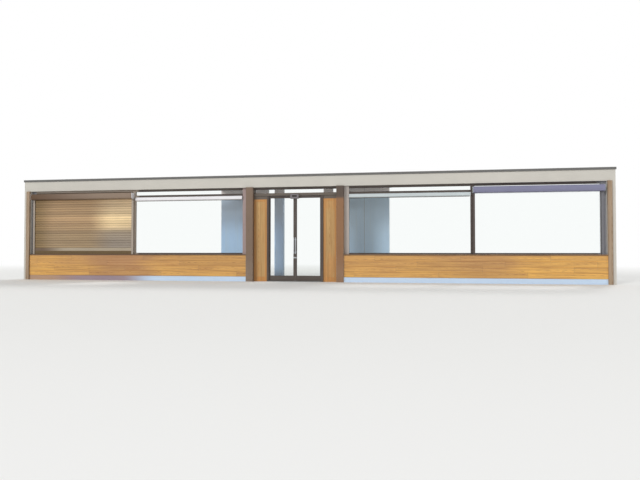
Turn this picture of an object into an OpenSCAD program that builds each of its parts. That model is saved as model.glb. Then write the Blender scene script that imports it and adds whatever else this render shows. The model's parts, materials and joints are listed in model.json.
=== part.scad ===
// Glazed shopfront wall of a single-storey sales hall, with its entrance doors and porch.
// X runs along the wall with 0 at the middle of the entrance. Y = 0 is the room face of the
// masonry, the room lies at -Y and the street at +Y. Z = 0 is the floor.

/* [Entrance] */
// Clear width between the two door jambs
door_w = 1640; // [1400:10:1800]
// Width of each door jamb, seen from the front
door_jamb_w = 45; // [35:1:70]
// Width of the wooden panel on each side of the doors
side_panel_w = 410; // [300:10:600]
// Height of the dark head bar over each wooden panel
panel_head_h = 100; // [60:5:300]
// Thickness of the wooden panels beside the doors
side_panel_t = 50; // [40:1:60]
// Width of the steel post on each side of the entrance
post_w = 220; // [150:5:300]
// How far each post stands proud of the masonry in the room
post_proud_in = 60; // [20:5:100]
// How far each post stands proud of the masonry in the street
post_proud_out = 20; // [10:5:60]

/* [Windows] */
// Width of the window jamb beside each entrance post
near_jamb_w = 145; // [60:5:200]
// Clear glass width of each window next to the entrance
inner_bay_w = 3510; // [2000:10:4000]
// Width of the mullion between the two windows of a side
mullion_w = 100; // [60:5:140]
// Clear glass width of each window at the end of the wall
outer_bay_w = 3390; // [2000:10:4000]
// Width of the window jamb at the end of the wall
end_jamb_w = 140; // [60:5:200]
// Width of the wooden corner post
corner_post_w = 120; // [60:5:160]
// Width of the end pier beyond the corner post
pier_rest_w = 100; // [50:5:400]

/* [Heights] */
// Height of the metal skirting
skirting_h = 150; // [80:5:200]
// Height of the masonry under the windows
sill_h = 790; // [600:10:1000]
// Thickness of the inner window board
board_t = 35; // [20:1:50]
// Height of the window frame's bottom rail
sill_rail_h = 70; // [55:1:100]
// Underside of the transom bar
transom_z = 2600; // [2560:10:2700]
// Height of the transom bar
transom_h = 80; // [50:1:100]
// Clear height of the upper lights
upper_light_h = 120; // [80:5:400]
// Height of the frame's head rail
head_h = 60; // [40:1:90]
// Height of the lintel beam over the windows
lintel_h = 340; // [250:10:600]
// Thickness of the cap on the wall at its inner edge
cap_t = 35; // [20:1:60]

/* [Wall] */
// Thickness of the masonry
wall_t = 250; // [200:5:350]
// Thickness of the wooden panelling
panelling_t = 22; // [15:1:30]
// Boards in the height of the panelling
board_count = 4; // [2:1:8]
// Depth of the groove between two boards
board_groove = 6; // [2:0.5:10]
// Thickness of the metal skirting
skirting_t = 18; // [10:1:22]
// How far the window board stands out into the room
board_nose = 45; // [25:1:100]
// How far the outer sill stands out past the wall
sill_nose = 40; // [20:1:60]
// Thickness of the outer sill at its front edge
sill_t = 20; // [15:1:25]
// Fall of the outer sill
sill_fall = 20; // [10:1:30]
// How far the wall cap stands out past the wall
cap_nose = 20; // [12:1:40]
// How far the wall cap's lips hang down
cap_lip = 30; // [15:5:60]
// Thickness of the wall cap's lips
cap_lip_t = 5; // [3:1:8]
// Width and depth of the drip groove under the lintel
lintel_drip = 12; // [6:1:20]

/* [Frames] */
// Distance of the window frame from the masonry's room face
frame_y = 90; // [80:1:120]
// Depth of the window frame
frame_d = 60; // [40:1:80]
// Thickness of the glass
glass_t = 10; // [6:0.5:24]
// Depth of the glazing groove
groove_d = 14; // [10:1:20]
// How far the glass reaches into the groove at the sides and the top
glass_bite = 12; // [6:0.5:13]
// Clearance between the glass and its groove
glass_fit = 0.3; // [0.2:0.05:0.5]
// Chamfer along the frame's glazing edges
bead = 6; // [2:0.5:10]
// Thickness of the cover strips on the mullions
cover_t = 10; // [5:1:15]

/* [Doors] */
// Thickness of each door leaf
leaf_t = 55; // [40:1:60]
// Depth of the door jambs and the entrance transom
door_frame_d = 100; // [80:1:120]
// How far the door jambs stand out of the window frame into the room
door_proud = 30; // [10:1:50]
// How far the door stop stands into the opening
stop_w = 14; // [8:1:20]
// Clearance between the closed leaf and its stop
stop_gap = 7; // [5:0.5:10]
// Clearance between a leaf and the jamb, transom or threshold
door_gap = 6; // [5:0.5:10]
// Clearance between the two leaves
meeting_gap = 10; // [10:0.5:14]
// Width of the stiles of a leaf
stile_w = 45; // [40:1:90]
// Height of the top rail of a leaf
top_rail_h = 60; // [40:1:120]
// Height of the bottom rail of a leaf
bottom_rail_h = 150; // [60:5:300]
// Height of the threshold
threshold_h = 15; // [8:1:20]
// How far the threshold stands out past the wall on both sides
threshold_nose = 40; // [20:5:100]
// Radius of the hinge knuckles
knuckle_r = 9; // [8:0.5:12]
// Radius of the hinge pins
pin_r = 4; // [3:0.5:5]
// Running clearance of a hinge pin, on its radius
pin_fit = 0.08; // [0.05:0.01:0.1]
// Height of each hinge
hinge_h = 120; // [80:5:160]
// Thickness of the hinge flaps
flap_t = 3; // [2:0.5:4]
// Width of the hinge flaps
flap_w = 28; // [20:1:30]
// Radius of the pull handle's bar
handle_r = 14; // [10:1:18]
// Length of the pull handle
handle_l = 500; // [200:10:900]
// Distance from the leaf to the middle of the handle's bar
handle_reach = 55; // [45:1:70]
// Height of the middle of the pull handle
handle_z = 1080; // [900:10:1200]
// Width of the door sensor over the doors
sensor_w = 250; // [120:10:400]
// Height of the door sensor
sensor_h = 140; // [80:5:160]
// Depth of the door sensor
sensor_d = 60; // [40:1:90]
// How far the door sensor reaches up over the transom's face
sensor_lap = 40; // [20:5:50]

/* [Shutters and blinds] */
// Height of one shutter slat
slat_pitch = 77; // [50:1:150]
// Thickness of a slat at its joints
slat_t = 8; // [6:0.5:12]
// How far a slat bulges into the room
slat_bulge = 6; // [2:0.5:8]
// Width of the shutter's guides
guide_w = 60; // [40:1:80]
// Depth of the shutter's guides
guide_d = 60; // [50:1:70]
// Wall thickness of the shutter's guides
guide_wall = 14; // [8:1:18]
// Clearance between the shutter's edges and the bottom of the guides
curtain_fit = 0.3; // [0.2:0.05:0.5]
// Height of the shutter's box
box_h = 180; // [140:5:220]
// Depth of the shutter's box
box_d = 190; // [150:5:240]
// Height of the top of the shutter's boxes
box_top = 2755; // [2700:5:2790]
// Height of the shutter's end bar
end_bar_h = 100; // [60:5:120]
// Thickness of the shutter's end bar
end_bar_t = 22; // [16:1:26]
// Height of the dark foot under the lowered shutter
foot_h = 100; // [40:5:140]
// Height of the slim blind cassettes
blind_h = 110; // [60:5:150]
// Depth of the slim blind cassettes
blind_d = 45; // [30:1:80]
// How far the cassettes reach up over the transom's face
blind_lap = 20; // [10:1:40]

/* [Porch] */
// Distance of the porch walls from the masonry's room face
porch_y = 1450; // [1350:10:2500]
// Thickness of the porch walls and columns
porch_t = 200; // [120:10:300]
// Width of the passage between the two columns
porch_gap = 1340; // [1200:10:1500]
// Width of each column
column_w = 300; // [150:10:400]
// Width of the slot between a column and its wall
column_slot = 230; // [100:10:400]
// Width of each porch wall
porch_wall_w = 1600; // [800:10:2400]
// Panels in the width of a porch wall
porch_panels = 2; // [1:1:4]
// Depth of the groove between two porch panels
porch_groove = 10; // [4:1:20]
// Thickness of the canopy
canopy_t = 130; // [100:5:150]
// Clearance between the canopy's metal edge and the wall cap's lip
canopy_gap = 5; // [5:5:40]
// How far the canopy stands out past the front of the porch walls
canopy_nose = 250; // [100:10:600]
// How far the canopy stands out past the sides of the porch walls
canopy_side = 60; // [40:5:300]
// Thickness of the canopy's metal edge
edge_t = 8; // [5:1:20]
// Width of the metal edge's flange on top of the canopy
edge_flange = 70; // [40:5:150]
// How far the metal edge hangs below the canopy's front
edge_drop = 25; // [5:1:60]

/* [Hidden] */

// places along the wall, as distances from the middle of the entrance
door_x = door_w / 2;
panel_x = door_x + door_jamb_w;
post_x = panel_x + side_panel_w;
near_x = post_x + post_w;
inner_x = near_x + near_jamb_w;
mullion_x = inner_x + inner_bay_w;
outer_x = mullion_x + mullion_w;
far_x = outer_x + outer_bay_w;
pier_x = far_x + end_jamb_w;
end_x = pier_x + corner_post_w + pier_rest_w;

// heights
glass_z = sill_h + sill_rail_h;
side_panel_h = transom_z - panel_head_h;
upper_z = transom_z + transom_h;
head_z = upper_z + upper_light_h;
lintel_z = head_z + head_h;
top_z = lintel_z + lintel_h;
board_z = sill_h + board_t;

// depths
frame_out = frame_y + frame_d;
glass_y = frame_y + frame_d / 2;
door_in = frame_y - door_proud;
door_out = door_in + door_frame_d;
leaf_y = door_out - leaf_t;
leaf_glass_y = leaf_y + leaf_t / 2;

// door leaf
leaf_x0 = meeting_gap / 2;
leaf_x1 = door_x - door_gap;
leaf_z0 = threshold_h + door_gap;
leaf_z1 = transom_z - door_gap;
hinge_x = door_x - door_gap / 2;
hinge_y = door_out + knuckle_r + 1;
hinge_zs = [250, 1300, 2350];
axial_gap = 0.4;
flap_gap = knuckle_r + 1.5;
handle_x = leaf_x0 + stile_w / 2;

// shutter
guide_y0 = frame_y - cover_t - guide_d;
curtain_y = guide_y0 + guide_d / 2;
guide_x0 = outer_x - mullion_w / 2;
guide_x1 = far_x + guide_w;
curtain_x0 = guide_x0 + guide_wall + curtain_fit;
curtain_x1 = guide_x1 - guide_wall - curtain_fit;
box_z = box_top - box_h;

// porch
column_x0 = porch_gap / 2;
column_x1 = column_x0 + column_w;
porch_x0 = column_x1 + column_slot;
porch_x1 = porch_x0 + porch_wall_w;
canopy_top = top_z - cap_lip - canopy_gap - edge_t;
canopy_z = canopy_top - canopy_t;
canopy_out = porch_y + porch_t + canopy_nose;

// Carries an outline drawn in Y and Z along X
module along_x(x0, x1) {
  translate([x0, 0, 0]) rotate([90, 0, 90]) linear_extrude(x1 - x0) children();
}

// Carries an outline drawn in X and Y up Z
module along_z(z0, z1) {
  translate([0, 0, z0]) linear_extrude(z1 - z0) children();
}

// Draws its children on the right and, mirrored, on the left
module both_sides() {
  children();
  mirror([1, 0, 0]) children();
}

// Block given by its two corners
module block(a, b) {
  translate(a) cube(b - a);
}

// Outline of a bar from a to b, between the depths y0 and y1, with a glazing groove at the
// depth gy in its first or last edge. The first coordinate is the depth Y, the second runs
// across the bar.
function bar_outline(a, b, first, last, y0 = frame_y, y1 = frame_out, gy = glass_y) = let(
  half = glass_t / 2 + glass_fit,
  ca = first ? bead : 0,
  cb = last ? bead : 0
) concat(
  first ? [
    [y0, a + ca], [y0 + ca, a],
    [gy - half, a], [gy - half, a + groove_d], [gy + half, a + groove_d], [gy + half, a],
    [y1 - ca, a], [y1, a + ca]
  ] : [[y0, a], [y1, a]],
  last ? [
    [y1, b - cb], [y1 - cb, b],
    [gy + half, b], [gy + half, b - groove_d], [gy - half, b - groove_d], [gy - half, b],
    [y0 + cb, b], [y0, b - cb]
  ] : [[y1, b], [y0, b]]
);

// The same outline with its coordinates changed over, for an upright bar
function upright(points) = [for (p = points) [p[1], p[0]]];

// Pane seated in its grooves: clear of the bottom groove's floor by the glazing clearance
module pane(x0, x1, z0, z1, gy = glass_y) {
  block(
    [x0 - glass_bite, gy - glass_t / 2, z0 - groove_d + glass_fit],
    [x1 + glass_bite, gy + glass_t / 2, z1 + glass_bite]
  );
}

module sill_walls() {
  color("#d8d4cb") both_sides() block([near_x, 0, 0], [pier_x, wall_t, sill_h]);
}

module end_piers() {
  color("#d8d4cb") both_sides() block([pier_x, 0, 0], [end_x, wall_t, lintel_z]);
}

// Lintel beam with a drip groove underneath, over the windows and over the entrance
module lintel() {
  y1 = wall_t - 2 * lintel_drip;
  color("#d8d4cb") difference() {
    block([-end_x, 0, lintel_z], [end_x, wall_t, top_z]);
    for (x = [[-pier_x, -near_x], [-post_x, post_x], [near_x, pier_x]])
      block([x[0], y1 - lintel_drip, lintel_z - 1], [x[1], y1, lintel_z + lintel_drip]);
  }
}

// Metal cap that falls to the street, with lips hanging clear of the wall on all four sides
module wall_cap() {
  x = end_x + cap_nose;
  y0 = -cap_nose;
  y1 = wall_t + cap_nose;
  low = top_z - cap_lip;
  color("#6c6a68") difference() {
    along_x(-x, x) polygon([[y0, low], [y1, low], [y1, top_z + cap_t / 2], [y0, top_z + cap_t]]);
    block([cap_lip_t - x, y0 + cap_lip_t, low - 1], [x - cap_lip_t, y1 - cap_lip_t, top_z]);
  }
}

// Boards with V grooves between them, as one profile carried along the wall
module panelling() {
  pitch = (sill_h - skirting_h) / board_count;
  grooves = [for (i = [board_count - 1 : -1 : 1]) let(z = skirting_h + i * pitch) each [
    [-panelling_t, z + board_groove], [-panelling_t + board_groove, z],
    [-panelling_t, z - board_groove]
  ]];
  color("#c89a66") both_sides() along_x(near_x, pier_x) polygon(concat(
    [[0, skirting_h], [0, sill_h], [-panelling_t, sill_h]],
    grooves,
    [[-panelling_t, skirting_h]]
  ));
}

module skirtings() {
  nose = skirting_t / 2;
  color("#c3d8ea") both_sides() along_x(near_x, pier_x) polygon([
    [0, 0], [0, skirting_h], [-skirting_t + nose, skirting_h],
    [-skirting_t, skirting_h - nose], [-skirting_t, 0]
  ]);
}

// Window board with a half-round nose
module window_boards() {
  r = board_t / 2;
  color("#54453c") both_sides() along_x(near_x, pier_x) polygon(concat(
    [[frame_y, sill_h], [frame_y, board_z]],
    [for (a = [90 : 15 : 270]) [-board_nose + r + r * cos(a), sill_h + r + r * sin(a)]]
  ));
}

// Outer sill with a fall, and a drip groove under its nose
module outer_sills() {
  y1 = wall_t + sill_nose;
  drip = 8;
  color("#9a9791") both_sides() along_x(near_x, pier_x) polygon([
    [frame_out, sill_h], [wall_t, sill_h],
    [y1 - 2 * drip, sill_h], [y1 - 2 * drip, sill_h + drip / 2], [y1 - drip, sill_h + drip / 2],
    [y1 - drip, sill_h], [y1, sill_h],
    [y1, sill_h + sill_t], [frame_out, sill_h + sill_t + sill_fall]
  ]);
}

module corner_posts() {
  edge = 8;
  color("#b08a62") both_sides() along_z(0, lintel_z) polygon([
    [pier_x, 0], [pier_x, -post_proud_in + edge], [pier_x + edge, -post_proud_in],
    [pier_x + corner_post_w - edge, -post_proud_in],
    [pier_x + corner_post_w, -post_proud_in + edge], [pier_x + corner_post_w, 0]
  ]);
}

// Boxed steel post with eased corners
module entrance_post() {
  r = 12;
  y0 = -post_proud_in;
  y1 = wall_t + post_proud_out;
  color("#7a5847") along_z(0, lintel_z) polygon([
    for (c = [[near_x - r, y1 - r, 0], [post_x + r, y1 - r, 90],
      [post_x + r, y0 + r, 180], [near_x - r, y0 + r, 270]])
    for (a = [0 : 30 : 90]) [c[0] + r * cos(c[2] + a), c[1] + r * sin(c[2] + a)]
  ]);
}

// Mullion grooved on both sides, with a cover strip in the room and one in the street
module mullions() {
  strip = mullion_w * 0.6;
  mid = mullion_x + mullion_w / 2;
  strip_z = sill_h + sill_t + sill_fall;
  color("#4d4540") both_sides() {
    along_z(sill_h, lintel_z) polygon(upright(bar_outline(mullion_x, outer_x, true, true)));
    block([mid - strip / 2, frame_y - cover_t, board_z], [mid + strip / 2, glass_y - 20, lintel_z]);
    block([mid - strip / 2, glass_y + 20, strip_z], [mid + strip / 2, frame_out + cover_t, lintel_z]);
  }
}

module window_jambs() {
  color("#767a7e") both_sides() {
    along_z(sill_h, lintel_z) polygon(upright(bar_outline(near_x, inner_x, false, true)));
    along_z(sill_h, lintel_z) polygon(upright(bar_outline(far_x, pier_x, true, false)));
  }
}

// Carries a rail's outline through both windows of each side
module bay_rails() {
  both_sides() {
    along_x(inner_x, mullion_x) children();
    along_x(outer_x, far_x) children();
  }
}

module sill_rails() {
  color("#4d4540") bay_rails() polygon(bar_outline(sill_h, glass_z, false, true));
}

module transom_rails() {
  color("#4d4540") bay_rails() polygon(bar_outline(transom_z, upper_z, true, true));
}

module head_rails() {
  color("#4d4540") {
    bay_rails() polygon(bar_outline(head_z, lintel_z, true, false));
    along_x(-post_x, post_x) polygon(bar_outline(head_z, lintel_z, true, false));
  }
}

module window_glass() {
  color("#cfe6ea", 0.4) {
    pane(inner_x, mullion_x, glass_z, transom_z);
    pane(outer_x, far_x, glass_z, transom_z);
  }
}

// Panes over the transom: the one over the doors is held between the posts
module upper_glass() {
  color("#cfe6ea", 0.4) {
    both_sides() pane(inner_x, mullion_x, upper_z, head_z);
    pane(outer_x, far_x, upper_z, head_z);
    pane(glass_bite + glass_fit - post_x, post_x - glass_bite - glass_fit, upper_z, head_z);
  }
}

// Closed panel in place of the upper light over the lowered shutter
module upper_panel_left() {
  color("#7d6a58") mirror([1, 0, 0]) pane(outer_x, far_x, upper_z, head_z);
}

// Box with a rounded lower front edge, over each window at the end of the wall
module shutter_boxes() {
  r = 40;
  y1 = frame_y - cover_t;
  y0 = y1 - box_d;
  color("#5d5a66") both_sides() along_x(guide_x0, guide_x1) polygon(concat(
    [[y1, box_z], [y1, box_top], [y0 + r / 2, box_top], [y0, box_top - r / 2]],
    [for (a = [180 : 15 : 270]) [y0 + r + r * cos(a), box_z + r + r * sin(a)]]
  ));
}

// Upright channel that holds an edge of the shutter, from its back at x towards way
module guide_channel(x, way) {
  edge = x + way * guide_w;
  slot = x + way * guide_wall;
  color("#4d4540") along_z(board_z, box_z) polygon([
    [x, guide_y0], [edge, guide_y0], [edge, guide_y0 + guide_wall],
    [slot, guide_y0 + guide_wall], [slot, guide_y0 + guide_d - guide_wall],
    [edge, guide_y0 + guide_d - guide_wall], [edge, guide_y0 + guide_d], [x, guide_y0 + guide_d]
  ]);
}

module shutter_guides() {
  both_sides() {
    guide_channel(guide_x0, 1);
    guide_channel(guide_x1, -1);
  }
}

// Slats of the lowered shutter as one profile: each bulges into the room between its joints
module shutter_curtain() {
  low = board_z + foot_h + end_bar_h;
  count = round((box_z - low) / slat_pitch);
  pitch = (box_z - low) / count;
  back = curtain_y + slat_t / 2;
  front = curtain_y - slat_t / 2;
  color("#a98f6c") mirror([1, 0, 0]) along_x(curtain_x0, curtain_x1) polygon(concat(
    [for (i = [0 : count - 1]) each concat([[front + slat_t / 4, low + i * pitch]],
      [for (u = [0.06, 0.3, 0.7, 0.94])
        [front - slat_bulge * (1 - pow(2 * u - 1, 2)), low + (i + u) * pitch]])],
    [[front, box_z], [back, box_z]],
    [for (i = [count - 1 : -1 : 0]) each [
      [back, low + (i + 0.94) * pitch], [back, low + (i + 0.06) * pitch],
      [back - slat_t / 4, low + i * pitch]
    ]]
  ));
}

module shutter_end_bar() {
  y0 = curtain_y - end_bar_t / 2;
  y1 = y0 + end_bar_t;
  z0 = board_z + foot_h;
  z1 = z0 + end_bar_h;
  edge = 4;
  color("#a89984") mirror([1, 0, 0]) along_x(curtain_x0, curtain_x1) polygon([
    [y0 + edge, z0], [y1 - edge, z0], [y1, z0 + edge], [y1, z1 - edge],
    [y1 - edge, z1], [y0 + edge, z1], [y0, z1 - edge], [y0, z0 + edge]
  ]);
}

module shutter_foot() {
  y0 = curtain_y - end_bar_t / 2;
  color("#2f2a26") mirror([1, 0, 0])
    block([curtain_x0, y0, board_z], [curtain_x1, y0 + end_bar_t, board_z + foot_h]);
}

// Slim rounded cassettes under the transom of the windows next to the entrance
module blind_cassettes() {
  r = blind_d * 0.6;
  y0 = frame_y - blind_d;
  z1 = transom_z + blind_lap;
  z0 = z1 - blind_h;
  color("#a1b1be") both_sides() along_x(inner_x, mullion_x) polygon(concat(
    [[frame_y, z0], [frame_y, z1]],
    [for (a = [90 : 15 : 180]) [y0 + r + r * cos(a), z1 - r + r * sin(a)]],
    [for (a = [180 : 15 : 270]) [y0 + r + r * cos(a), z0 + r + r * sin(a)]]
  ));
}

// Wooden panel with a sunk field on both faces
module side_panels() {
  border = 70;
  sunk = 8;
  y0 = glass_y - side_panel_t / 2;
  y1 = y0 + side_panel_t;
  color("#b89862") both_sides() difference() {
    block([panel_x, y0, 0], [post_x, y1, side_panel_h]);
    for (y = [y0, y1]) block(
      [panel_x + border, y - sunk, 2 * border], [post_x - border, y + sunk, side_panel_h - border]
    );
  }
}

module side_panel_heads() {
  color("#62594f") both_sides()
    block([panel_x, frame_y, side_panel_h], [post_x, frame_out, transom_z]);
}

// Door jamb with the stop that the leaf closes against
module door_jambs() {
  stop_y = leaf_y - stop_gap;
  color("#4d4540") both_sides() along_z(0, transom_z) polygon([
    [door_x, door_out], [door_x, stop_y], [door_x - stop_w, stop_y], [door_x - stop_w, door_in],
    [panel_x, door_in], [panel_x, door_out]
  ]);
}

// Transom over the doors and side panels, grooved for the upper light
module entrance_transom() {
  half = glass_t / 2 + glass_fit;
  color("#62594f") along_x(-post_x, post_x) polygon([
    [door_in, transom_z], [door_out, transom_z], [door_out, upper_z],
    [glass_y + half, upper_z], [glass_y + half, upper_z - groove_d],
    [glass_y - half, upper_z - groove_d], [glass_y - half, upper_z], [door_in, upper_z]
  ]);
}

module threshold() {
  edge = 6;
  y0 = -threshold_nose;
  y1 = wall_t + threshold_nose;
  color("#a5a7a8") along_x(-door_x + stop_w, door_x - stop_w) polygon([
    [y0, 0], [y1, 0], [y1, threshold_h - edge], [y1 - edge, threshold_h],
    [y0 + edge, threshold_h], [y0, threshold_h - edge]
  ]);
}

// Housing of the door sensor, fixed to the transom and hanging in front of the leaves
module door_sensor() {
  z1 = transom_z + sensor_lap;
  z0 = z1 - sensor_h;
  y0 = door_in - sensor_d;
  slope = 20;
  color("#2c2a29") along_x(-sensor_w / 2, sensor_w / 2) polygon([
    [door_in, z0], [door_in, z1], [y0 + slope / 2, z1], [y0, z1 - slope / 2],
    [y0, z0 + slope], [y0 + slope, z0]
  ]);
}

// Fixed half of the hinges: flap, outer knuckles and pin, for one jamb
module jamb_hinge(z) {
  third = hinge_h / 3;
  translate([hinge_x, hinge_y, z - hinge_h / 2]) {
    for (h = [0, 2 * third + axial_gap]) {
      translate([0, 0, h]) cylinder(r = knuckle_r, h = third - axial_gap, $fn = 32);
      block([0, door_out - hinge_y, h], [flap_gap, door_out - hinge_y + flap_t, h + third - axial_gap]);
    }
    cylinder(r = pin_r, h = hinge_h, $fn = 32);
    block([flap_gap, door_out - hinge_y, 0], [flap_gap + flap_w, door_out - hinge_y + flap_t, hinge_h]);
  }
}

// Moving half of the hinges: flap and middle knuckle, bored for the pin
module leaf_hinge(z) {
  third = hinge_h / 3;
  translate([hinge_x, hinge_y, z - hinge_h / 2]) difference() {
    union() {
      translate([0, 0, third]) cylinder(r = knuckle_r, h = third, $fn = 32);
      block([-flap_gap, door_out - hinge_y, third], [0, door_out - hinge_y + flap_t, 2 * third]);
      block([-flap_gap - flap_w, door_out - hinge_y, 0], [-flap_gap, door_out - hinge_y + flap_t, hinge_h]);
    }
    translate([0, 0, third - 1]) cylinder(r = pin_r + pin_fit, h = third + 2, $fn = 32);
  }
}

module jamb_hinges() {
  color("#8c8e90") both_sides() for (z = hinge_zs) jamb_hinge(z);
}

module door_hinges() {
  color("#8c8e90") for (z = hinge_zs) leaf_hinge(z);
}

// Outline of a bar of a leaf
function leaf_bar(a, b, first, last) = bar_outline(a, b, first, last, leaf_y, door_out, leaf_glass_y);

// Metal frame of a leaf: two stiles with a rail at the bottom and at the top between them
module door_frame() {
  x0 = leaf_x0 + stile_w;
  x1 = leaf_x1 - stile_w;
  z0 = leaf_z0 + bottom_rail_h;
  z1 = leaf_z1 - top_rail_h;
  color("#4d4540") {
    along_z(leaf_z0, leaf_z1) polygon(upright(leaf_bar(leaf_x0, x0, false, true)));
    along_z(leaf_z0, leaf_z1) polygon(upright(leaf_bar(x1, leaf_x1, true, false)));
    along_x(x0 - bead, x1 + bead) polygon(leaf_bar(leaf_z0, z0, false, true));
    along_x(x0 - bead, x1 + bead) polygon(leaf_bar(z1, leaf_z1, true, false));
  }
}

module door_glass() {
  x0 = leaf_x0 + stile_w;
  x1 = leaf_x1 - stile_w;
  z0 = leaf_z0 + bottom_rail_h;
  z1 = leaf_z1 - top_rail_h;
  color("#cfe6ea", 0.4) pane(x0, x1, z0, z1, leaf_glass_y);
}

// Pull bar on two stand-offs, on the face at y; way is the direction away from the leaf
module pull_handle(y, way) {
  inset = 60;
  foot_r = handle_r * 0.7;
  bar_y = y + way * handle_reach;
  translate([handle_x, bar_y, handle_z - handle_l / 2]) cylinder(r = handle_r, h = handle_l, $fn = 32);
  for (z = [handle_z - handle_l / 2 + inset, handle_z + handle_l / 2 - inset])
    translate([handle_x, min(y, bar_y), z]) rotate([-90, 0, 0])
      cylinder(r = foot_r, h = handle_reach, $fn = 24);
}

module door_handles() {
  color("#b8babc") {
    pull_handle(leaf_y, -1);
    pull_handle(door_out, 1);
  }
}

// Porch wall of equal panels, with a V groove between them on both faces
module porch_wall() {
  step = porch_wall_w / porch_panels;
  y1 = porch_y + porch_t;
  joints = porch_panels > 1 ? [for (i = [1 : porch_panels - 1]) porch_x0 + i * step] : [];
  function groove(x, y, way) = [
    [x - way * porch_groove, y], [x, y + way * porch_groove], [x + way * porch_groove, y]
  ];
  color("#8296a2") along_z(0, canopy_z) polygon(concat(
    [[porch_x0, porch_y]],
    [for (x = joints) each groove(x, porch_y, 1)],
    [[porch_x1, porch_y], [porch_x1, y1]],
    [for (i = [len(joints) - 1 : -1 : 0]) each groove(joints[i], y1, -1)],
    [[porch_x0, y1]]
  ));
}

// Column with eased corners
module porch_columns() {
  c = 15;
  y1 = porch_y + porch_t;
  color("#8296a2") both_sides() along_z(0, canopy_z) polygon([
    [column_x0 + c, porch_y], [column_x1 - c, porch_y], [column_x1, porch_y + c],
    [column_x1, y1 - c], [column_x1 - c, y1], [column_x0 + c, y1],
    [column_x0, y1 - c], [column_x0, porch_y + c]
  ]);
}

module porch_canopy() {
  color("#cdcac3") block(
    [-porch_x1 - canopy_side + edge_t, wall_t, canopy_z],
    [porch_x1 + canopy_side - edge_t, canopy_out - edge_t, canopy_top]
  );
}

// Metal edge round the three free sides of the canopy: it hangs below them as a drip, and its
// flange lies on the canopy's top
module canopy_edge() {
  x = porch_x1 + canopy_side;
  low = canopy_z - edge_drop;
  color("#6c6a68") difference() {
    block([-x, wall_t, low], [x, canopy_out, canopy_top + edge_t]);
    block([edge_t - x, wall_t - 1, low - 1], [x - edge_t, canopy_out - edge_t, canopy_top]);
    block([edge_flange - x, wall_t - 1, low - 1],
      [x - edge_flange, canopy_out - edge_flange, canopy_top + edge_t + 1]);
  }
}

sill_walls();
end_piers();
lintel();
wall_cap();
panelling();
skirtings();
window_boards();
outer_sills();
corner_posts();
mirror([1, 0, 0]) entrance_post();  // entrance_post_left
entrance_post();  // entrance_post_right
mullions();
window_jambs();
sill_rails();
transom_rails();
head_rails();
mirror([1, 0, 0]) window_glass();  // window_glass_left
window_glass();  // window_glass_right
upper_glass();
upper_panel_left();
shutter_boxes();
shutter_guides();
shutter_curtain();
shutter_end_bar();
shutter_foot();
blind_cassettes();
side_panels();
side_panel_heads();
door_jambs();
entrance_transom();
threshold();
door_sensor();
jamb_hinges();
mirror([1, 0, 0]) door_frame();  // door_frame_left
mirror([1, 0, 0]) door_glass();  // door_glass_left
mirror([1, 0, 0]) door_handles();  // door_handles_left
mirror([1, 0, 0]) door_hinges();  // door_hinges_left
door_frame();  // door_frame_right
door_glass();  // door_glass_right
door_handles();  // door_handles_right
door_hinges();  // door_hinges_right
both_sides() porch_wall();  // porch_walls
porch_columns();
porch_canopy();
canopy_edge();
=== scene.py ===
import json
import math

import bmesh
import bpy
import numpy as np
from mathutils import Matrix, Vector


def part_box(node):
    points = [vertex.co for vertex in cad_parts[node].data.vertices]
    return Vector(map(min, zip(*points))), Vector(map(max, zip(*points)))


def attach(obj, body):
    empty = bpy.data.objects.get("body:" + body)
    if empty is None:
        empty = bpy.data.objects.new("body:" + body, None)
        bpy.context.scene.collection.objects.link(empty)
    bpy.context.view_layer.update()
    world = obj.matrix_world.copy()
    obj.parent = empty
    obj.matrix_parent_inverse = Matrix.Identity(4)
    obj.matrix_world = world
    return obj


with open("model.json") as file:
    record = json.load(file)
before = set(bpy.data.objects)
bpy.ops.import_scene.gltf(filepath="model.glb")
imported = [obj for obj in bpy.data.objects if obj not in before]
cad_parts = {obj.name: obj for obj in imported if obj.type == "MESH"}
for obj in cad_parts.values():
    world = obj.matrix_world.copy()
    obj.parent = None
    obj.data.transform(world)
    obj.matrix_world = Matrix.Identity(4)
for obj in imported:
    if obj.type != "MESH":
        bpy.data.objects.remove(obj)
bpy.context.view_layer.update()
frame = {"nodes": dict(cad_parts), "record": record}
nodes = frame["nodes"]
print("frame loaded:", len(nodes), "nodes")


def marks(node, axis):
    # every different coordinate of the node's corners along one axis, lowest first
    mesh = nodes[node].data
    places = np.empty(len(mesh.vertices) * 3, np.float32)
    mesh.vertices.foreach_get("co", places)
    return np.unique(places.reshape(-1, 3)[:, axis].astype(float).round(4))


def limits(node, axis):
    # both ends of the node's box along one axis, lowest first
    low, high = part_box(node)
    return low[axis], high[axis]


# measures taken from the frame, in X those of the right-hand side
bayEdges = marks("sill_rails", 0)[-4:]      # both ends of both windows
nearX, pierX = marks("sill_walls", 0)[-2:]
postX = marks("entrance_post_right", 0)[0]
panelX = marks("side_panels", 0)[-4]
cornerMid = sum(marks("corner_posts", 0)[-2:]) / 2
boardTop = limits("window_boards", 2)[1]
glassLow = limits("sill_rails", 2)[1]
transomLow, transomHigh = limits("transom_rails", 2)
headLow = limits("head_rails", 2)[0]
frameOut = limits("sill_rails", 1)[1]
glassIn, glassOut = limits("window_glass_right", 1)
panelLow, panelHigh = limits("side_panels", 2)
porchIn, porchOut = limits("porch_walls", 1)

sideBorder = 0.070      # border round the sunk field of the wooden side panels, twice as wide at the foot
porchBand = 2.80        # height at which the porch walls' colour ends

# battens that the panelling is pinned to, counted from the entrance outwards
batten = {"first": nearX + 0.30, "step": 0.61, "perBoard": 4, "end": 0.1}

alongX, alongY, alongZ = np.eye(3)
crease = math.radians(35)       # edges that bend more than this stay sharp


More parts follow.
